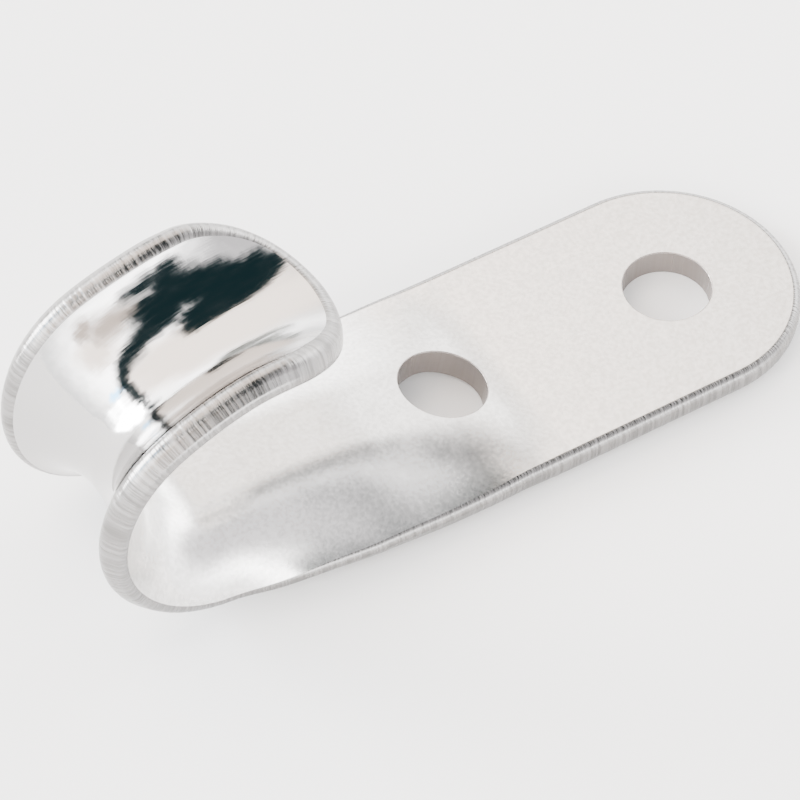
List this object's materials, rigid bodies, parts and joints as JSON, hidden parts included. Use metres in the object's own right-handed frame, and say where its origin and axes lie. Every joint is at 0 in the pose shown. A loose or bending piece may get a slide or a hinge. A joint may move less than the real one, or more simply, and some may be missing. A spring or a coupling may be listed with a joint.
{
  "type": "fairlead hook",
  "caption": "Open fairlead hook pressed from stainless sheet: flat plate with screw holes that curls back over itself as a saddle-shaped tongue to lead a rope.",
  "frame": {"origin": "midway between the centres of the two screw holes, on the deck face", "axes": "+Z out of the deck, +X along the plate towards its round end, so the hook is at -X; +Y completes the right-handed frame"},
  "size_m": [0.0593, 0.0194, 0.022],
  "materials": {
    "stainless": "satin face, with the outside of the curl polished and the edge linished"
  },
  "bodies": {
    "root": {"fairlead_hook": "stainless"}
  },
  "joints": []
}
